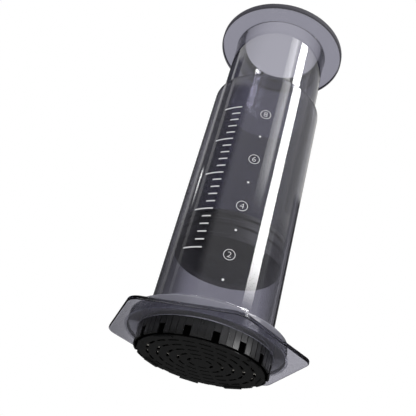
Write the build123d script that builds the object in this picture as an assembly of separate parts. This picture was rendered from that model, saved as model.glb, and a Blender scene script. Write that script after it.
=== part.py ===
from build123d import *
import math
import os

os.makedirs("parts", exist_ok=True)

# A piston coffee press in millimetres, +Z up, standing on its filter cap.
# The origin is the middle of the cap's ring of feet, on the table.
# -Y faces the side that carries the printed scale and one flat side of the six-sided flange.

# Brew chamber: neck, bell, flange and tube. The other pieces' radii follow from the tube's.
tube_outside_radius = 37.5
tube_wall = 2.9
tube_length = 173.7
tube_rim_rounding = 1.0
neck_step = 0.9
neck_end_rounding = 0.4
bell_wall = 6.5
bell_roof = 7.6
bell_edge_rounding = 1.1
bell_shoulder_rise = 3.4
bell_shoulder_rounding = 3.0
recess_depth = 1.8
recess_roof_rounding = 0.2
recess_lip_rounding = 0.3
flange_side_count = 6
flange_overhang = 6.7
flange_corner_rounding = 10.0
flange_thickness = 2.2
flange_bottom_rounding = 0.8
flange_top_rounding = 0.5
chamber_lug_height = 2.0
chamber_lug_width = 4.4

# Filter cap: a panelled wall with pockets under its inward lugs, and a slotted floor
cap_wall = 1.8
cap_height = 12.0
cap_foot_count = 8
cap_foot_length = 12.0
cap_foot_width = 2.4
cap_foot_height = 0.8
cap_floor = 1.6
cap_edge_height = 1.4
cap_edge_inset = 2.6
cap_rim_rounding = 0.5
cap_panel_count = 64
cap_groove_width = 0.45
cap_groove_depth = 0.3
cap_pocket_count = 16
cap_pocket_width = 4.0
cap_pocket_height = 5.4
cap_pocket_depth = 1.3
cap_lug_height = 2.0
cap_lug_side_gap = 0.15
floor_ring_radius = 7.0
floor_ring_pitch = 6.2
floor_edge_margin = 2.5
floor_slot_width = 1.6
floor_land_width = 2.4
floor_first_ring_slots = 6
floor_slots_added_per_ring = 4

# Paper filter on the cap's floor
paper_thickness = 0.3
paper_edge_gap = 0.5

# Plunger: closed foot with a bead, hollow tube and round top flange
plunger_wall = 4.0
plunger_raised = 57.1
plunger_length = 186.1
plunger_flange_overhang = 12.45
plunger_flange_thickness = 4.9
plunger_flange_rounding = 1.3
plunger_root_rounding = 1.0
foot_step = 3.15
foot_wall = 3.0
foot_floor = 3.0
foot_bead_rise = 1.4
foot_bead_height = 3.4
foot_bead_start = 5.3
foot_bead_rounding = 0.6
foot_floor_rounding = 2.0
foot_step_rounding = 1.2

# Seal: a cup with two lips, over the plunger's foot
seal_height = 18.6
seal_waist_depth = 1.1
seal_lip_height = 2.4
seal_lip_slope = 0.9
seal_middle_lip_start = 10.0
seal_crown_depth = 3.0
seal_crown_slope_width = 12.55
seal_crown_rounding = 40.0
seal_floor = 3.0
seal_rounding = 0.4
seal_top_gap = 0.3

# Gaps between pieces
plunger_gap = 0.75
lug_space = 1.9
recess_gap = 0.6
recess_roof_gap = 0.9
seat_gap = 0.05
seal_running_gap = 0.05
foot_gap = 0.3
lug_radial_gap = 0.4
lug_lift_gap = 0.1

# Every cut runs past the faces that it goes through by this much
overrun = 1.0


# Heights above the table, from the cap upwards
floor_top_z = cap_foot_height + cap_floor
paper_top_z = floor_top_z + paper_thickness
neck_end_z = paper_top_z + seat_gap
recess_roof_z = cap_height + recess_roof_gap
bell_top_z = recess_roof_z + bell_roof
shoulder_top_z = bell_top_z + bell_shoulder_rise
rim_z = bell_top_z + tube_length
flange_bottom_z = recess_roof_z - recess_depth
flange_top_z = flange_bottom_z + flange_thickness
pocket_top_z = cap_edge_height + cap_pocket_height
cap_lug_top_z = pocket_top_z + cap_lug_height
chamber_lug_top_z = pocket_top_z - lug_lift_gap
chamber_lug_bottom_z = chamber_lug_top_z - chamber_lug_height
plunger_flange_z = rim_z + plunger_raised
plunger_top_z = plunger_flange_z + plunger_flange_thickness
seal_bottom_z = plunger_flange_z - plunger_length
seal_top_z = seal_bottom_z + seal_height
foot_bottom_z = seal_bottom_z + seal_floor + foot_gap
plunger_step_z = seal_top_z + seal_top_gap

# Radii that follow from the tube
tube_bore_radius = tube_outside_radius - tube_wall
neck_outside_radius = tube_outside_radius - neck_step
cap_inside_radius = neck_outside_radius + lug_space
cap_outside_radius = cap_inside_radius + cap_wall
recess_radius = cap_outside_radius + recess_gap
bell_outside_radius = recess_radius + bell_wall
flange_half_width = bell_outside_radius + flange_overhang
plunger_outside_radius = tube_bore_radius - plunger_gap
plunger_flange_radius = plunger_outside_radius + plunger_flange_overhang
foot_outside_radius = plunger_outside_radius - foot_step
cap_lug_tip_radius = neck_outside_radius + lug_radial_gap
chamber_lug_tip_radius = cap_inside_radius - lug_radial_gap
flange_hole_radius = (recess_radius + recess_lip_rounding + bell_outside_radius) / 2
seal_lip_radius = tube_bore_radius - seal_running_gap
seal_waist_radius = seal_lip_radius - seal_waist_depth
seal_crown_flat_radius = seal_lip_radius - seal_crown_slope_width
seal_pocket_radius = foot_outside_radius + foot_gap
foot_bead_radius = foot_outside_radius + foot_bead_rise
foot_bead_z = foot_bottom_z + foot_bead_start
plunger_inside_radius = plunger_outside_radius - plunger_wall
foot_inside_radius = foot_outside_radius - foot_wall
cap_foot_outer_radius = cap_outside_radius - cap_edge_inset
cap_foot_inner_radius = cap_foot_outer_radius - cap_foot_width

slotted_width = cap_foot_inner_radius - floor_edge_margin - floor_ring_radius
floor_ring_count = math.floor(slotted_width / floor_ring_pitch) + 1
pocket_pitch_angle = 360 / cap_pocket_count
front_angle = -90


def turned(outline):
    """A solid of revolution about Z, from corners of (radius, height, rounding)."""
    corners = [(radius, height) for radius, height, rounding in outline]
    roundings = [rounding for radius, height, rounding in outline]
    edge = FilletPolyline(*corners, radius=roundings, close=True)
    return revolve(Plane.XZ * make_face(edge), Axis.Z)


def tube_ring(inside_radius, outside_radius, bottom, top):
    """A plain ring about Z between two heights."""
    return turned([(inside_radius, bottom, 0), (outside_radius, bottom, 0),
                   (outside_radius, top, 0), (inside_radius, top, 0)])


def radial_blocks(start_radius, end_radius, bottom, top, width, count, first_angle):
    """Blocks that point outwards from Z, evenly spaced from the first angle."""
    block = Box(end_radius - start_radius, width, top - bottom,
                align=(Align.MIN, Align.CENTER, Align.MIN))
    block = Pos(start_radius, 0, bottom) * block
    return [Rot(0, 0, first_angle + number * 360 / count) * block for number in range(count)]


def lug_ring(inside_radius, outside_radius, bottom, top, width, first_angle):
    """Bayonet lugs between two radii: blocks trimmed to a ring, one for each pocket."""
    blocks = radial_blocks(inside_radius - overrun, outside_radius + overrun, bottom, top,
                           width, cap_pocket_count, first_angle)
    ring = tube_ring(inside_radius, outside_radius, bottom, top)
    return ring & Compound(children=blocks)


def floor_slots():
    """Concentric rings of arc slots through the cap's floor."""
    slots = Sketch()
    for ring in range(floor_ring_count):
        radius = floor_ring_radius + ring * floor_ring_pitch
        lands = floor_first_ring_slots + ring * floor_slots_added_per_ring
        band = Circle(radius + floor_slot_width / 2) - Circle(radius - floor_slot_width / 2)
        land = Pos(radius, 0) * Rectangle(floor_slot_width * 2, floor_land_width)
        band -= [Rot(0, 0, number * 360 / lands) * land for number in range(lands)]
        slots += band
    return Pos(0, 0, cap_foot_height - overrun) * extrude(slots, cap_floor + overrun * 2)


def filter_cap():
    """The black cap: panelled wall, pockets under the lugs, a slotted floor and low feet."""
    cap = turned([(0, cap_foot_height, 0),
                  (cap_foot_outer_radius, cap_foot_height, 0),
                  (cap_foot_outer_radius, cap_edge_height, 0),
                  (cap_outside_radius + overrun, cap_edge_height, 0),
                  (cap_outside_radius + overrun, cap_height, 0),
                  (cap_inside_radius, cap_height, cap_rim_rounding),
                  (cap_inside_radius, floor_top_z, 0),
                  (0, floor_top_z, 0)])
    panels = RegularPolygon(cap_outside_radius, cap_panel_count, rotation=180 / cap_panel_count)
    cap &= extrude(panels, cap_height)
    groove_start = cap_outside_radius * math.cos(math.pi / cap_panel_count) - cap_groove_depth
    cap -= radial_blocks(groove_start, cap_outside_radius + overrun, cap_edge_height,
                         cap_height + overrun, cap_groove_width, cap_panel_count,
                         front_angle + 180 / cap_panel_count)
    cap += lug_ring(cap_lug_tip_radius, cap_inside_radius + cap_wall / 2, pocket_top_z,
                    cap_lug_top_z, cap_pocket_width - cap_lug_side_gap, front_angle)
    cap -= radial_blocks(cap_outside_radius - cap_pocket_depth, cap_outside_radius + overrun,
                         cap_edge_height - overrun, pocket_top_z, cap_pocket_width,
                         cap_pocket_count, front_angle)
    cap -= floor_slots()
    cap += radial_blocks(cap_foot_inner_radius, cap_foot_outer_radius, 0,
                         cap_foot_height + cap_floor / 2, cap_foot_length, cap_foot_count,
                         front_angle + 180 / cap_foot_count)
    return cap


def paper_filter():
    """A paper disc that lies on the cap's floor."""
    return turned([(0, floor_top_z, 0), (cap_inside_radius - paper_edge_gap, floor_top_z, 0),
                   (cap_inside_radius - paper_edge_gap, paper_top_z, 0), (0, paper_top_z, 0)])


def chamber_flange():
    """The six-sided plate with rounded corners that rests on a mug."""
    outline = RegularPolygon(flange_half_width, flange_side_count, major_radius=False)
    outline = fillet(outline.vertices(), flange_corner_rounding)
    plate = Pos(0, 0, flange_bottom_z) * extrude(outline, flange_thickness)
    plate = fillet(plate.faces().sort_by(Axis.Z)[0].edges(), flange_bottom_rounding)
    plate = fillet(plate.faces().sort_by(Axis.Z)[-1].edges(), flange_top_rounding)
    return plate - tube_ring(0, flange_hole_radius, flange_bottom_z - overrun,
                             flange_top_z + overrun)


def brew_chamber():
    """The clear chamber: neck with lugs, bell, flange and tube in one moulding."""
    chamber = turned([(tube_bore_radius, neck_end_z, 0),
                      (neck_outside_radius, neck_end_z, neck_end_rounding),
                      (neck_outside_radius, recess_roof_z, recess_roof_rounding),
                      (recess_radius, recess_roof_z, recess_roof_rounding),
                      (recess_radius, flange_bottom_z, recess_lip_rounding),
                      (bell_outside_radius, flange_bottom_z, 0),
                      (bell_outside_radius, bell_top_z, bell_edge_rounding),
                      (tube_outside_radius, shoulder_top_z, bell_shoulder_rounding),
                      (tube_outside_radius, rim_z, tube_rim_rounding),
                      (tube_bore_radius, rim_z, tube_rim_rounding)])
    chamber += chamber_flange()
    chamber += lug_ring((tube_bore_radius + neck_outside_radius) / 2, chamber_lug_tip_radius,
                        chamber_lug_bottom_z, chamber_lug_top_z, chamber_lug_width,
                        front_angle + pocket_pitch_angle / 2)
    return chamber


def plunger_tube():
    """The clear plunger: closed foot with a bead, hollow tube and round top flange."""
    bead_top_z = foot_bead_z + foot_bead_height
    return turned([(0, foot_bottom_z, 0),
                   (foot_outside_radius, foot_bottom_z, foot_bead_rounding),
                   (foot_outside_radius, foot_bead_z, 0),
                   (foot_bead_radius, foot_bead_z, foot_bead_rounding),
                   (foot_bead_radius, bead_top_z, foot_bead_rounding),
                   (foot_outside_radius, bead_top_z, 0),
                   (foot_outside_radius, plunger_step_z, 0),
                   (plunger_outside_radius, plunger_step_z, foot_bead_rounding),
                   (plunger_outside_radius, plunger_flange_z, plunger_root_rounding),
                   (plunger_flange_radius, plunger_flange_z, plunger_flange_rounding),
                   (plunger_flange_radius, plunger_top_z, plunger_flange_rounding),
                   (plunger_inside_radius, plunger_top_z, plunger_root_rounding),
                   (plunger_inside_radius, plunger_step_z + foot_wall, foot_step_rounding),
                   (foot_inside_radius, plunger_step_z, foot_step_rounding),
                   (foot_inside_radius, foot_bottom_z + foot_floor, foot_floor_rounding),
                   (0, foot_bottom_z + foot_floor, 0)])


def plunger_seal():
    """The rubber cup over the plunger's foot, with lips that wipe the bore."""
    bead_groove_radius = foot_bead_radius + foot_gap
    groove_bottom_z = foot_bead_z - foot_gap
    groove_top_z = foot_bead_z + foot_bead_height + foot_gap
    lip_top_z = seal_bottom_z + seal_lip_height
    middle_z = seal_bottom_z + seal_middle_lip_start
    top_lip_z = seal_top_z - seal_lip_height
    return turned([(0, seal_bottom_z - seal_crown_depth, 0),
                   (seal_crown_flat_radius, seal_bottom_z - seal_crown_depth, seal_crown_rounding),
                   (seal_lip_radius, seal_bottom_z, seal_rounding),
                   (seal_lip_radius, lip_top_z, seal_rounding),
                   (seal_waist_radius, lip_top_z + seal_lip_slope, seal_rounding),
                   (seal_waist_radius, middle_z - seal_lip_slope, seal_rounding),
                   (seal_lip_radius, middle_z, seal_rounding),
                   (seal_lip_radius, middle_z + seal_lip_height, seal_rounding),
                   (seal_waist_radius, middle_z + seal_lip_height + seal_lip_slope, 0),
                   (seal_waist_radius, top_lip_z - seal_lip_slope, 0),
                   (seal_lip_radius, top_lip_z, seal_rounding),
                   (seal_lip_radius, seal_top_z, seal_rounding),
                   (seal_pocket_radius, seal_top_z, seal_rounding),
                   (seal_pocket_radius, groove_top_z, 0),
                   (bead_groove_radius, groove_top_z, 0),
                   (bead_groove_radius, groove_bottom_z, 0),
                   (seal_pocket_radius, groove_bottom_z, 0),
                   (seal_pocket_radius, seal_bottom_z + seal_floor, foot_bead_rounding),
                   (0, seal_bottom_z + seal_floor, 0)])


pieces = {"brew_chamber": brew_chamber(), "plunger_tube": plunger_tube(),
          "plunger_seal": plunger_seal(), "filter_cap": filter_cap(),
          "paper_filter": paper_filter()}

for name, piece in pieces.items():
    piece.label = name
    export_step(piece, f"parts/{name}.step")
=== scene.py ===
import math

import bmesh
import bpy
from mathutils import Matrix, Vector


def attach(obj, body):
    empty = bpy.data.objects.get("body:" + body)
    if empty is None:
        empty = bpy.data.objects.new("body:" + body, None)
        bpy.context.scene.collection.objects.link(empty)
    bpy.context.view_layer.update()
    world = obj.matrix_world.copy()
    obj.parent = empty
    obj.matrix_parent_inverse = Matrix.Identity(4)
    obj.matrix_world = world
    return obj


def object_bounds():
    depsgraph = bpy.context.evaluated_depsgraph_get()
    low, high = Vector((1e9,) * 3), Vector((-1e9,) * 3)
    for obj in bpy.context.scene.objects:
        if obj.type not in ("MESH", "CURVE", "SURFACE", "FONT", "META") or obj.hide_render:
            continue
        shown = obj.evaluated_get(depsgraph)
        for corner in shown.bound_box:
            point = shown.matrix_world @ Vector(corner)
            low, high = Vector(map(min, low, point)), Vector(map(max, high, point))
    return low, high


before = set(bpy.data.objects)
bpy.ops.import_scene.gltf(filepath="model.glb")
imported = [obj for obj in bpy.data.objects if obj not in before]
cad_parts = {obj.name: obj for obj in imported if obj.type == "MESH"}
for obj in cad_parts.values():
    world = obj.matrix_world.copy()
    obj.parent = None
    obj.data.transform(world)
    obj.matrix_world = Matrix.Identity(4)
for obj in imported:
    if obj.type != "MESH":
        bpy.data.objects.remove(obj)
cad_low, cad_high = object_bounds()
MM = 0.001

# Camera: below the press and in front of it, looking up along the tube
CAMERA_EYE = Vector((100.16, -348.89, -114.40)) * MM
CAMERA_LOOK = Vector((-0.28349, 0.81069, 0.51227))
CAMERA_UP = Vector((-0.10271, -0.55678, 0.82429))
SENSOR_WIDTH_MM = 36.0
LENS_MM = 55.87
CAMERA_CLIP = (0.01, 50.0)

# The tube that carries the print, and the print's thickness, full over this share of a mark
TUBE_RADIUS = 37.5 * MM
INK_THICKNESS = 0.05 * MM
INK_EDGE_SHARE = 0.8

# Printed scale: dots and ringed numerals that alternate up the tube
FRONT_ANGLE = -73.2
FIRST_MARK_Z = 37.8 * MM
FIRST_GAP = 16.1 * MM
GAP_GROWTH = 0.43 * MM
MARK_COUNT = 8
DOT_RADIUS = 0.75 * MM
RING_RADIUS = 3.5 * MM
LINE_WIDTH = 0.36 * MM
ROUND_STEPS = 64
NUMERAL_HEIGHT = 3.5 * MM
NUMERAL_STRETCH = 1.15
NUMERAL_CURVE_STEPS = 6

# The numerals are thinned and extruded by these shares of the font's size before they are scaled
NUMERAL_THINNING = 0.02
NUMERAL_EXTRUDE = 0.01

# Plain measuring ticks further round the tube
TICK_START_ANGLE = -99.0
TICK_FIRST_Z = 56.0 * MM
TICK_GAP = 5.4 * MM
TICK_COUNT = 21
TICK_LONG_EVERY = 5
TICK_WIDTH = 0.9 * MM
TICK_SHORT = 6.0 * MM
TICK_LONG = 13.0 * MM
TICK_STEPS = 16

# All noise: how much its finer layers count, and the values that it mostly lies between
NOISE_ROUGHNESS = 0.55
NOISE_MIDDLE = (0.3, 0.7)

# Smoky plastic: a tint at its surface, a darker one where it is seen edge on, and a tint by
# depth with a density per metre
CHAMBER_TINT = (0.48, 0.475, 0.53)
CHAMBER_EDGE = (0.075, 0.073, 0.085)
CHAMBER_DENSITY = 60.0
PLUNGER_TINT = (0.9, 0.89, 0.96)
PLUNGER_EDGE = (0.36, 0.35, 0.41)
PLUNGER_DENSITY = 255.0
DEPTH_TINT = (0.2, 0.2, 0.27)
PLASTIC_IOR = 1.49
PLASTIC_ROUGHNESS = (0.015, 0.05)
DRAW_LINE_SIZE = 0.9 * MM
DRAW_LINE_STRETCH = (1, 1, 250)
DRAW_LINE_DEPTH = 0.0012 * MM
HANDLING_SIZE = 3.5 * MM

# The edge-on tint comes in between these two shares of turning away, and below the plate's
# top only this share of it is left
EDGE_TURN = (0.35, 0.75)
PLATE_TOP_Z = 21.0 * MM
PLATE_EDGE_SHARE = 0.05
PLATE_EDGE_FADE = 5 * MM

# The rim of the plunger's flange, outside this radius, is matt and part opaque, and painted
# darker as painted shade for the dark band along its edge
PLUNGER_RIM_RADIUS = 45.1 * MM
RIM_FADE = 0.4 * MM
RIM_PAINTED_SHADE = (0.07, 0.066, 0.085)
RIM_ROUGHNESS = 0.9
RIM_CLARITY = 0.3

# The collar round the tube's foot is milky between these radii and heights
COLLAR_RADII = (38.2 * MM, 48.6 * MM)
COLLAR_HEIGHTS = (11.3 * MM, 23.0 * MM)
COLLAR_FADE = 0.3 * MM
COLLAR_TINT = (0.38, 0.38, 0.44)
COLLAR_CLARITY = 0.5

# Seal rubber
RUBBER_COLOURS = ((0.014, 0.0135, 0.016), (0.024, 0.023, 0.026))
RUBBER_ROUGHNESS = (0.42, 0.6)
RUBBER_GRAIN_SIZE = 0.25 * MM
RUBBER_GRAIN_DEPTH = 0.018 * MM
RUBBER_PATCH_SIZE = 6 * MM

# The cap's black plastic
CAP_COLOURS = ((0.005, 0.0052, 0.0053), (0.009, 0.0092, 0.0095))
CAP_ROUGHNESS = (0.26, 0.36)
CAP_GRAIN_SIZE = 0.3 * MM
CAP_GRAIN_DEPTH = 0.012 * MM
CAP_LINE_SIZE = 0.5 * MM
CAP_LINE_STRETCH = (1, 1, 40)
CAP_LINE_DEPTH = 0.01 * MM
CAP_PATCH_SIZE = 9 * MM

# Inside this radius and above this height, which takes in the pockets in the cap's wall and its
# inner faces, the cap is painted shade: a flat near-black with no gloss
POCKET_RADIUS = 39.1 * MM
POCKET_RADIUS_FADE = 0.5 * MM
POCKET_LOW_Z = 1.3 * MM
POCKET_LOW_FADE = 0.1 * MM
POCKET_PAINTED_SHADE = (0.001, 0.001, 0.001)

# Filter paper
PAPER_COLOURS = ((0.74, 0.70, 0.62), (0.84, 0.81, 0.74))
PAPER_ROUGHNESS = (0.8, 0.95)
PAPER_SHEEN = 0.15
FIBRE_SIZE = 0.35 * MM
FIBRE_STRETCH = 5
FIBRE_DEPTH = 0.05 * MM
PAPER_CLOUD_SIZE = 5 * MM

# White ink
INK_COLOURS = ((0.78, 0.78, 0.8), (0.88, 0.88, 0.89))
INK_ROUGHNESS = (0.35, 0.55)
INK_COVER_SIZE = 1.2 * MM
INK_MESH_SIZE = 0.15 * MM
INK_MESH_DEPTH = 0.006 * MM

# Light: an even sky and one soft sun together light a colour about as it is written
SKY_STRENGTH = 0.6
SUN_STRENGTH = 1.5
SUN_ANGLE = 35.0
SUN_AZIMUTH = -50.0
SUN_ELEVATION = 55.0

# What the gloss mirrors: dark low down, white above, and cards, some of them in front of others
GLOSS_LOW_LEVEL = 0.05
GLOSS_DARK_ELEVATION = 14.0
GLOSS_WHITE_ELEVATION = 38.0
CARD_DISTANCE = 1.2
FRONT_CARD_DISTANCE = CARD_DISTANCE * 0.97
CARD_STEPS = 24
FLAG_STRENGTH = 0.03

# The white backdrop, seen through the plastic, dims to this level between these X directions
BACKDROP_LEFT_LEVEL = 0.46
BACKDROP_LEFT_X = (-0.40, -0.32)

FLOOR_SIZE = 16.0
FLOOR_DROP = 0.2 * MM
FLOOR_COLOUR = (0.93, 0.93, 0.93)


def add_camera():
    """The photograph's camera, with a plain lens and no shift."""
    data = bpy.data.cameras.new("camera")
    data.sensor_width = SENSOR_WIDTH_MM
    data.lens = LENS_MM
    data.clip_start, data.clip_end = CAMERA_CLIP
    camera = bpy.data.objects.new("camera", data)
    bpy.context.scene.collection.objects.link(camera)
    right = CAMERA_LOOK.cross(CAMERA_UP).normalized()
    up = right.cross(CAMERA_LOOK).normalized()
    turn = Matrix((right, up, -CAMERA_LOOK.normalized())).transposed()
    camera.matrix_world = Matrix.Translation(CAMERA_EYE) @ turn.to_4x4()
    bpy.context.scene.camera = camera


def new_material(name):
    """An empty node material, its node tree and its output node."""
    material = bpy.data.materials.new(name)
    material.use_nodes = True
    tree = material.node_tree
    tree.nodes.clear()
    return material, tree, tree.nodes.new("ShaderNodeOutputMaterial")


def add_node(tree, kind, **inputs):
    """A node with some of its inputs set, each to a value or to another node's output."""
    node = tree.nodes.new(kind)
    for name, value in inputs.items():
        socket = node.inputs[name.replace("_", " ")]
        if isinstance(value, bpy.types.NodeSocket):
            tree.links.new(value, socket)
        else:
            socket.default_value = value
    return node


def combine(tree, operation, first, second):
    """One number from two, by a Math node."""
    node = tree.nodes.new("ShaderNodeMath")
    node.operation = operation
    for socket, value in zip(node.inputs, (first, second)):
        if isinstance(value, bpy.types.NodeSocket):
            tree.links.new(value, socket)
        else:
            socket.default_value = value
    return node.outputs["Value"]


def spread(tree, value, low, high, start=0.0, end=1.0, smooth=False):
    """A number that runs from low to high as value runs from start to end."""
    node = add_node(tree, "ShaderNodeMapRange", Value=value)
    if smooth:
        node.interpolation_type = "SMOOTHSTEP"
    node.inputs["From Min"].default_value = start
    node.inputs["From Max"].default_value = end
    node.inputs["To Min"].default_value = low
    node.inputs["To Max"].default_value = high
    return node.outputs["Result"]


def grain(tree, size, detail=2.0, stretch=(1, 1, 1)):
    """Noise with features of about this size in metres, longer along axes stretched over 1."""
    place = tree.nodes.new("ShaderNodeTexCoord").outputs["Object"]
    scaled = add_node(tree, "ShaderNodeMapping", Vector=place,
                      Scale=[1 / (size * share) for share in stretch])
    noise = add_node(tree, "ShaderNodeTexNoise", Vector=scaled.outputs["Vector"],
                     Scale=1.0, Detail=detail, Roughness=NOISE_ROUGHNESS)
    return noise.outputs["Fac"]


def place_parts(tree):
    """A point's X, Y and Z on its own object, in metres."""
    place = tree.nodes.new("ShaderNodeTexCoord").outputs["Object"]
    return add_node(tree, "ShaderNodeSeparateXYZ", Vector=place).outputs


def distance_from_axis(tree):
    """How far a point is from the press's axis, in metres."""
    place = place_parts(tree)
    across = combine(tree, "MULTIPLY", place["X"], place["X"])
    along = combine(tree, "MULTIPLY", place["Y"], place["Y"])
    return combine(tree, "SQRT", combine(tree, "ADD", across, along), 0.0)


def bump(tree, height, depth, under=None):
    """A normal from a height from 0 to 1 that stands for depth in metres, over another normal."""
    node = add_node(tree, "ShaderNodeBump", Height=height, Strength=1.0, Distance=depth)
    if under is not None:
        tree.links.new(under, node.inputs["Normal"])
    return node.outputs["Normal"]


def tinted(tree, factor, first, second):
    """A colour between two, by a number from 0 to 1."""
    node = tree.nodes.new("ShaderNodeMix")
    node.data_type = "RGBA"
    tree.links.new(factor, node.inputs["Factor"])
    for socket, value in ((node.inputs["A"], first), (node.inputs["B"], second)):
        if isinstance(value, bpy.types.NodeSocket):
            tree.links.new(value, socket)
        else:
            socket.default_value = (*value, 1)
    return node.outputs["Result"]


def mixed_shader(tree, factor, first, second):
    """A shader between two, by a number from 0 to 1."""
    node = add_node(tree, "ShaderNodeMixShader", Fac=factor)
    tree.links.new(first, node.inputs[1])
    tree.links.new(second, node.inputs[2])
    return node.outputs["Shader"]


def between(tree, value, low, high, fade):
    """A share from 0 to 1 that is 1 where value lies between low and high."""
    above = spread(tree, value, 0.0, 1.0, low - fade, low)
    below = spread(tree, value, 1.0, 0.0, high, high + fade)
    return combine(tree, "MULTIPLY", above, below)


def tinted_plastic(name, surface_tint, edge_tint, depth_density, rim_radius=None):
    """Clear smoky grey plastic, polished, with faint draw lines, tinted at its surface, more so
    where it is seen edge on, and by depth. With a rim radius it is matt, part opaque and painted
    darker as painted shade outside that radius, and without one it has a milky collar."""
    material, tree, output = new_material(name)
    draw_lines = grain(tree, DRAW_LINE_SIZE, detail=3.0, stretch=DRAW_LINE_STRETCH)
    handling = grain(tree, HANDLING_SIZE, detail=4.0)
    normal = bump(tree, draw_lines, DRAW_LINE_DEPTH)
    roughness = spread(tree, handling, *PLASTIC_ROUGHNESS, *NOISE_MIDDLE)
    facing = add_node(tree, "ShaderNodeLayerWeight", Blend=0.5).outputs["Facing"]
    edge_on = spread(tree, facing, 0.0, 1.0, *EDGE_TURN)
    height = place_parts(tree)["Z"]
    edge_share = spread(tree, height, PLATE_EDGE_SHARE, 1.0, PLATE_TOP_Z,
                        PLATE_TOP_Z + PLATE_EDGE_FADE)
    edge_on = combine(tree, "MULTIPLY", edge_on, edge_share)
    colour = tinted(tree, edge_on, surface_tint, edge_tint)
    radius = distance_from_axis(tree)
    if rim_radius is None:
        collar = combine(tree, "MULTIPLY", between(tree, radius, *COLLAR_RADII, COLLAR_FADE),
                         between(tree, height, *COLLAR_HEIGHTS, COLLAR_FADE))
        colour = tinted(tree, collar, colour, COLLAR_TINT)
        clarity = spread(tree, collar, 1.0, COLLAR_CLARITY)
    else:
        rim = spread(tree, radius, 0.0, 1.0, rim_radius, rim_radius + RIM_FADE)
        # Painted shade: outside the rim radius the flange's colour is painted dark
        colour = tinted(tree, rim, colour, RIM_PAINTED_SHADE)
        roughness = combine(tree, "MAXIMUM", roughness,
                            combine(tree, "MULTIPLY", rim, RIM_ROUGHNESS))
        clarity = spread(tree, rim, 1.0, RIM_CLARITY)
    surface = add_node(tree, "ShaderNodeBsdfPrincipled", Base_Color=colour, Roughness=roughness,
                       IOR=PLASTIC_IOR, Transmission_Weight=clarity, Normal=normal)
    clear = add_node(tree, "ShaderNodeBsdfTransparent", Color=(1, 1, 1, 1))
    path = tree.nodes.new("ShaderNodeLightPath")
    both = mixed_shader(tree, path.outputs["Is Shadow Ray"], surface.outputs["BSDF"],
                        clear.outputs["BSDF"])
    inside = add_node(tree, "ShaderNodeVolumeAbsorption", Color=(*DEPTH_TINT, 1),
                      Density=depth_density)
    tree.links.new(both, output.inputs["Surface"])
    tree.links.new(inside.outputs["Volume"], output.inputs["Volume"])
    return material


def seal_rubber():
    """Dark grey satin rubber with a fine matt grain and slightly polished patches."""
    material, tree, output = new_material("dark_rubber")
    fine = grain(tree, RUBBER_GRAIN_SIZE, detail=3.0)
    patches = grain(tree, RUBBER_PATCH_SIZE, detail=3.0)
    colour = tinted(tree, patches, *RUBBER_COLOURS)
    surface = add_node(tree, "ShaderNodeBsdfPrincipled", Base_Color=colour,
                       Roughness=spread(tree, patches, *RUBBER_ROUGHNESS, *NOISE_MIDDLE),
                       Normal=bump(tree, fine, RUBBER_GRAIN_DEPTH))
    tree.links.new(surface.outputs["BSDF"], output.inputs["Surface"])
    return material


def black_plastic():
    """Black satin plastic with a fine grain and draw lines up its wall, and painted shade inside
    the wall's pockets and on its inner faces: a flat near-black diffuse with no gloss."""
    material, tree, output = new_material("black_satin_plastic")
    fine = grain(tree, CAP_GRAIN_SIZE, detail=2.0)
    draw_lines = grain(tree, CAP_LINE_SIZE, detail=2.0, stretch=CAP_LINE_STRETCH)
    patches = grain(tree, CAP_PATCH_SIZE, detail=4.0)
    colour = tinted(tree, patches, *CAP_COLOURS)
    underside = spread(tree, place_parts(tree)["Z"], 1.0, 0.0, POCKET_LOW_Z - POCKET_LOW_FADE,
                       POCKET_LOW_Z)
    outside = spread(tree, distance_from_axis(tree), 0.0, 1.0, POCKET_RADIUS,
                     POCKET_RADIUS + POCKET_RADIUS_FADE)
    skin = combine(tree, "MAXIMUM", underside, outside)
    normal = bump(tree, draw_lines, CAP_LINE_DEPTH)
    normal = bump(tree, fine, CAP_GRAIN_DEPTH, under=normal)
    surface = add_node(tree, "ShaderNodeBsdfPrincipled", Base_Color=colour,
                       Roughness=spread(tree, patches, *CAP_ROUGHNESS, *NOISE_MIDDLE),
                       Normal=normal)
    # Painted shade: a flat near-black diffuse takes the place of the satin plastic in the pockets
    pocket_shade = add_node(tree, "ShaderNodeBsdfDiffuse", Color=(*POCKET_PAINTED_SHADE, 1))
    both = mixed_shader(tree, skin, pocket_shade.outputs["BSDF"], surface.outputs["BSDF"])
    tree.links.new(both, output.inputs["Surface"])
    return material


def filter_paper():
    """Off-white filter paper with long soft fibres."""
    material, tree, output = new_material("filter_paper")
    across = grain(tree, FIBRE_SIZE, detail=4.0, stretch=(FIBRE_STRETCH, 1, 1))
    along = grain(tree, FIBRE_SIZE, detail=4.0, stretch=(1, FIBRE_STRETCH, 1))
    fibres = combine(tree, "MAXIMUM", across, along)
    clouds = grain(tree, PAPER_CLOUD_SIZE, detail=4.0)
    colour = tinted(tree, clouds, *PAPER_COLOURS)
    surface = add_node(tree, "ShaderNodeBsdfPrincipled", Base_Color=colour,
                       Roughness=spread(tree, fibres, *PAPER_ROUGHNESS),
                       Sheen_Weight=PAPER_SHEEN, Normal=bump(tree, fibres, FIBRE_DEPTH))
    tree.links.new(surface.outputs["BSDF"], output.inputs["Surface"])
    return material


def white_ink():
    """White screen-printing ink, slightly uneven in its cover and gloss."""
    material, tree, output = new_material("white_print")
    mesh_marks = grain(tree, INK_MESH_SIZE, detail=2.0)
    cover = grain(tree, INK_COVER_SIZE, detail=4.0)
    colour = tinted(tree, cover, *INK_COLOURS)
    surface = add_node(tree, "ShaderNodeBsdfPrincipled", Base_Color=colour,
                       Roughness=spread(tree, cover, *INK_ROUGHNESS),
                       Normal=bump(tree, mesh_marks, INK_MESH_DEPTH))
    tree.links.new(surface.outputs["BSDF"], output.inputs["Surface"])
    return material


def add_object(name, mesh):
    """A mesh object in the scene."""
    item = bpy.data.objects.new(name, mesh)
    bpy.context.scene.collection.objects.link(item)
    return item


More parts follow.
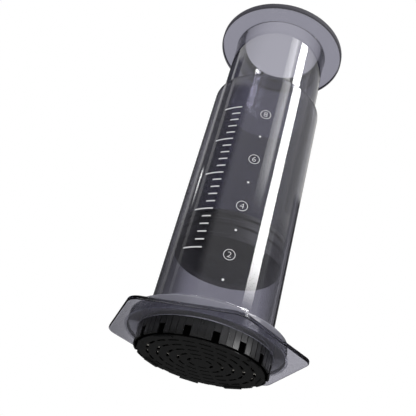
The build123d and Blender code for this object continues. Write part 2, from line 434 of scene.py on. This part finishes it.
def printed(name, flat_mesh, angle, height, ink):
    """Wraps a flat mark, drawn in X and Z with its thickness in Y, onto the tube at a height."""
    for vertex in flat_mesh.vertices:
        x, thickness, z = vertex.co
        turn = math.radians(angle) + x / TUBE_RADIUS
        reach = TUBE_RADIUS + thickness
        vertex.co = (reach * math.cos(turn), reach * math.sin(turn), height + z)
    flat_mesh.materials.append(ink)
    for face in flat_mesh.polygons:
        face.use_smooth = True
    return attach(add_object(name, flat_mesh), "chamber")


def loop_mesh(name, rings, closed_centre):
    """A round mark from rings of (radius, thickness), filled in the middle if closed_centre."""
    shape = bmesh.new()
    loops = []
    for radius, thickness in rings:
        angles = [2 * math.pi * step / ROUND_STEPS for step in range(ROUND_STEPS)]
        loops.append([shape.verts.new((radius * math.cos(a), thickness, radius * math.sin(a)))
                      for a in angles])
    for outer, inner in zip(loops, loops[1:]):
        for step in range(ROUND_STEPS):
            after = (step + 1) % ROUND_STEPS
            shape.faces.new((outer[step], outer[after], inner[after], inner[step]))
    if closed_centre:
        shape.faces.new(loops[-1])
    mesh = bpy.data.meshes.new(name)
    shape.to_mesh(mesh)
    shape.free()
    return mesh


def dot_mesh():
    """A printed dot with a soft shoulder round its edge."""
    return loop_mesh("scale_dot", [(DOT_RADIUS, 0), (DOT_RADIUS * INK_EDGE_SHARE, INK_THICKNESS)],
                     closed_centre=True)


def ring_mesh():
    """A printed circle, thickest along the middle of its line."""
    middle = RING_RADIUS - LINE_WIDTH / 2
    shoulder = LINE_WIDTH / 2 * INK_EDGE_SHARE
    return loop_mesh("scale_ring", [(RING_RADIUS, 0), (middle + shoulder, INK_THICKNESS),
                                    (middle - shoulder, INK_THICKNESS),
                                    (RING_RADIUS - LINE_WIDTH, 0)], closed_centre=False)


def numeral_mesh(text):
    """A printed numeral, centred, at the scale's height."""
    curve = bpy.data.curves.new("numeral", "FONT")
    curve.body = text
    curve.resolution_u = NUMERAL_CURVE_STEPS
    curve.extrude = NUMERAL_EXTRUDE
    curve.offset = -NUMERAL_THINNING
    source = bpy.data.objects.new("numeral", curve)
    mesh = bpy.data.meshes.new_from_object(source)
    bpy.data.objects.remove(source)
    lows = [min(v.co[axis] for v in mesh.vertices) for axis in range(3)]
    highs = [max(v.co[axis] for v in mesh.vertices) for axis in range(3)]
    scale = NUMERAL_HEIGHT / (highs[1] - lows[1])
    for vertex in mesh.vertices:
        across = (vertex.co.x - (lows[0] + highs[0]) / 2) * scale * NUMERAL_STRETCH
        up = (vertex.co.y - (lows[1] + highs[1]) / 2) * scale
        thickness = INK_THICKNESS if vertex.co.z > 0 else 0
        vertex.co = (across, thickness, up)
    return mesh


def tick_mesh(length):
    """A printed bar that runs leftwards round the tube, with soft upper and lower edges."""
    shape = bmesh.new()
    half = TICK_WIDTH / 2
    profile = [(-half, 0), (-half * INK_EDGE_SHARE, INK_THICKNESS),
               (half * INK_EDGE_SHARE, INK_THICKNESS), (half, 0)]
    rows = []
    for step in range(TICK_STEPS + 1):
        x = -length * step / TICK_STEPS
        rows.append([shape.verts.new((x, thickness, z)) for z, thickness in profile])
    for row, after in zip(rows, rows[1:]):
        for low, high in zip(range(3), range(1, 4)):
            shape.faces.new((row[low], row[high], after[high], after[low]))
    for end in (rows[0], rows[-1]):
        shape.faces.new(end)
    mesh = bpy.data.meshes.new("tick")
    shape.to_mesh(mesh)
    shape.free()
    return mesh


def print_scale(ink):
    """Dots and ringed even numerals up the front of the tube."""
    height = FIRST_MARK_Z
    for mark in range(1, MARK_COUNT + 1):
        if mark % 2:
            printed(f"scale_dot_{mark}", dot_mesh(), FRONT_ANGLE, height, ink)
        else:
            printed(f"scale_ring_{mark}", ring_mesh(), FRONT_ANGLE, height, ink)
            printed(f"scale_numeral_{mark}", numeral_mesh(str(mark)), FRONT_ANGLE, height, ink)
        height += FIRST_GAP + GAP_GROWTH * (mark - 1)


def print_ticks(ink):
    """A plain ladder of short and long measuring ticks."""
    for tick in range(TICK_COUNT):
        length = TICK_SHORT if tick % TICK_LONG_EVERY else TICK_LONG
        printed(f"measuring_tick_{tick + 1}", tick_mesh(length), TICK_START_ANGLE,
                TICK_FIRST_Z + tick * TICK_GAP, ink)


def direction(azimuth, elevation):
    """The unit vector towards an azimuth and an elevation, in radians."""
    return Vector((math.cos(azimuth) * math.cos(elevation),
                   math.sin(azimuth) * math.cos(elevation), math.sin(elevation)))


def card(name, start, end, low, high, strength, fade_start=1.0, fade_end=1.0, fade_low=1.0,
         fade_high=1.0, start_share=0.0, distance=CARD_DISTANCE):
    """A curved studio card between two azimuths and two elevations, in degrees, that faces the
    press and shows only in its gloss. Its edges fade out over the given angles, and at its
    start it begins from start_share of its strength."""
    shape = bmesh.new()
    layer = shape.loops.layers.uv.new("card")
    centre = Vector((0, 0, (cad_low.z + cad_high.z) / 2))
    rows = []
    for up in range(CARD_STEPS + 1):
        elevation = math.radians(low + (high - low) * up / CARD_STEPS)
        row = []
        for across in range(CARD_STEPS + 1):
            azimuth = math.radians(start + (end - start) * across / CARD_STEPS)
            row.append(shape.verts.new(centre + direction(azimuth, elevation) * distance))
        rows.append(row)
    for up in range(CARD_STEPS):
        for across in range(CARD_STEPS):
            corners = [(up, across), (up, across + 1), (up + 1, across + 1), (up + 1, across)]
            face = shape.faces.new([rows[v][u] for v, u in corners])
            for loop, (v, u) in zip(face.loops, corners):
                loop[layer].uv = (u / CARD_STEPS, v / CARD_STEPS)
    mesh = bpy.data.meshes.new(name)
    shape.to_mesh(mesh)
    shape.free()
    item = add_object(name, mesh)

    material, tree, output = new_material(name)
    place = tree.nodes.new("ShaderNodeUVMap")
    place.uv_map = "card"
    apart = add_node(tree, "ShaderNodeSeparateXYZ", Vector=place.outputs["UV"])
    width, height = end - start, high - low
    from_end = combine(tree, "SUBTRACT", 1.0, apart.outputs["X"])
    rise = spread(tree, apart.outputs["X"], start_share, 1.0, 0.0, fade_start / width)
    fall = spread(tree, from_end, 0.0, 1.0, 0.0, fade_end / width, smooth=True)
    foot = spread(tree, apart.outputs["Y"], 0.0, 1.0, 0.0, fade_low / height, smooth=True)
    from_top = combine(tree, "SUBTRACT", 1.0, apart.outputs["Y"])
    head = spread(tree, from_top, 0.0, 1.0, 0.0, fade_high / height, smooth=True)
    cover = combine(tree, "MULTIPLY", combine(tree, "MULTIPLY", rise, fall),
                    combine(tree, "MULTIPLY", foot, head))
    glow = add_node(tree, "ShaderNodeEmission", Color=(1, 1, 1, 1), Strength=strength)
    clear = add_node(tree, "ShaderNodeBsdfTransparent", Color=(1, 1, 1, 1))
    both = mixed_shader(tree, cover, clear.outputs["BSDF"], glow.outputs["Emission"])
    tree.links.new(both, output.inputs["Surface"])
    mesh.materials.append(material)
    item.visible_camera = False
    item.visible_diffuse = False
    item.visible_transmission = False
    item.visible_shadow = False


def add_cards():
    """The bright strip, the softer one beside it, the cards to their right, dark flags round
    the left and the back, and two small glints."""
    card("bright_strip", -29.0, -7.8, 17.5, 50.5, 24.0, fade_low=6.5)
    card("strip_foot", -32.0, -4.0, -2.0, 17.5, 7.5, fade_start=4.0, fade_end=4.0, fade_low=6.0)
    card("soft_strip", -55.0, -33.5, 28.5, 52.0, 6.5, fade_start=14.0, fade_end=6.0,
         fade_low=7.0, start_share=0.35)
    card("front_low", -140.0, 20.0, -70.0, -4.0, 1.3, fade_start=15.0, fade_end=15.0,
         fade_low=10.0)
    card("right_flag", 4.0, 84.0, -10.0, 30.0, 0.1, fade_start=6.0, fade_end=24.0, fade_high=5.0)
    card("right_high", 14.0, 84.0, 30.0, 62.0, 0.6, fade_start=12.0, fade_end=30.0, fade_high=8.0)
    card("right_low", 38.0, 95.0, -10.0, 33.5, FLAG_STRENGTH, fade_start=8.0, fade_end=4.0,
         fade_high=1.5, distance=FRONT_CARD_DISTANCE)
    card("back_flag", 84.0, 118.0, 6.0, 50.0, FLAG_STRENGTH)
    card("left_flag_front", -163.3, -108.0, 10.0, 43.5, FLAG_STRENGTH, fade_start=1.5,
         fade_end=18.0)
    card("left_flag_side", 170.2, 189.8, 10.0, 47.0, FLAG_STRENGTH, fade_start=1.5,
         fade_end=1.5)
    card("left_glint", 177.0, 183.0, 27.5, 33.3, 9.0, fade_start=1.5, fade_end=1.5,
         fade_low=5.0, distance=FRONT_CARD_DISTANCE)
    card("rim_glint", -125.0, -114.0, 44.75, 45.2, 20.0, fade_low=0.1, fade_high=0.1)
    card("left_flag_back", 118.0, 161.7, 10.0, 60.0, FLAG_STRENGTH, fade_start=3.0,
         fade_end=1.5)


def set_world():
    """White to the eye and through clear plastic, plain soft light on everything, and for gloss
    a room that is dark low down and white above."""
    world = bpy.data.worlds.new("world")
    bpy.context.scene.world = world
    world.use_nodes = True
    tree = world.node_tree
    tree.nodes.clear()
    path = tree.nodes.new("ShaderNodeLightPath")
    looking = tree.nodes.new("ShaderNodeTexCoord").outputs["Generated"]
    apart = add_node(tree, "ShaderNodeSeparateXYZ", Vector=looking)
    dark_z = math.sin(math.radians(GLOSS_DARK_ELEVATION))
    white_z = math.sin(math.radians(GLOSS_WHITE_ELEVATION))
    room = spread(tree, apart.outputs["Z"], GLOSS_LOW_LEVEL, 1.0, dark_z, white_z, smooth=True)
    backdrop = spread(tree, apart.outputs["X"], BACKDROP_LEFT_LEVEL, 1.0, *BACKDROP_LEFT_X,
                      smooth=True)
    through = combine(tree, "MULTIPLY", path.outputs["Is Transmission Ray"], backdrop)
    seen = combine(tree, "MAXIMUM", path.outputs["Is Camera Ray"], through)
    glossy = combine(tree, "MULTIPLY", path.outputs["Is Glossy Ray"], room)
    shown = combine(tree, "MAXIMUM", seen, glossy)
    direct = combine(tree, "MAXIMUM", path.outputs["Is Camera Ray"],
                     path.outputs["Is Transmission Ray"])
    other = combine(tree, "SUBTRACT", 1.0,
                    combine(tree, "MAXIMUM", direct, path.outputs["Is Glossy Ray"]))
    level = combine(tree, "ADD", shown, combine(tree, "MULTIPLY", other, SKY_STRENGTH))
    sky = add_node(tree, "ShaderNodeBackground", Color=(1, 1, 1, 1), Strength=level)
    output = tree.nodes.new("ShaderNodeOutputWorld")
    tree.links.new(sky.outputs["Background"], output.inputs["Surface"])


def add_sun():
    """One soft sun that casts the press's shadow on the floor."""
    data = bpy.data.lights.new("sun", "SUN")
    data.energy = SUN_STRENGTH
    data.angle = math.radians(SUN_ANGLE)
    sun = bpy.data.objects.new("sun", data)
    bpy.context.scene.collection.objects.link(sun)
    towards_sun = direction(math.radians(SUN_AZIMUTH), math.radians(SUN_ELEVATION))
    sun.rotation_euler = towards_sun.to_track_quat("Z", "Y").to_euler()
    sun.visible_glossy = False
    sun.visible_transmission = False


def add_floor():
    """A pale floor that takes the press's shadow and shows only from above."""
    half = FLOOR_SIZE / 2
    mesh = bpy.data.meshes.new("floor")
    mesh.from_pydata([(-half, -half, 0), (half, -half, 0), (half, half, 0), (-half, half, 0)],
                     [], [(0, 1, 2, 3)])
    floor = add_object("floor", mesh)
    floor.location.z = cad_low.z - FLOOR_DROP
    material, tree, output = new_material("pale_floor")
    pale = add_node(tree, "ShaderNodeBsdfDiffuse", Color=(*FLOOR_COLOUR, 1))
    clear = add_node(tree, "ShaderNodeBsdfTransparent", Color=(1, 1, 1, 1))
    side = tree.nodes.new("ShaderNodeNewGeometry")
    both = mixed_shader(tree, side.outputs["Backfacing"], pale.outputs["BSDF"],
                        clear.outputs["BSDF"])
    tree.links.new(both, output.inputs["Surface"])
    mesh.materials.append(material)
    floor.visible_glossy = False
    floor.visible_diffuse = False
    floor.visible_shadow = False


add_camera()
finishes = {"brew_chamber": tinted_plastic("smoky_chamber_plastic", CHAMBER_TINT, CHAMBER_EDGE,
                                           CHAMBER_DENSITY),
            "plunger_tube": tinted_plastic("smoky_plunger_plastic", PLUNGER_TINT, PLUNGER_EDGE,
                                           PLUNGER_DENSITY, PLUNGER_RIM_RADIUS),
            "plunger_seal": seal_rubber(), "filter_cap": black_plastic(),
            "paper_filter": filter_paper()}
for node, material in finishes.items():
    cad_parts[node].data.materials[0] = material
ink = white_ink()
print_scale(ink)
print_ticks(ink)
set_world()
add_sun()
add_floor()
add_cards()
bpy.context.scene.view_settings.view_transform = "Standard"
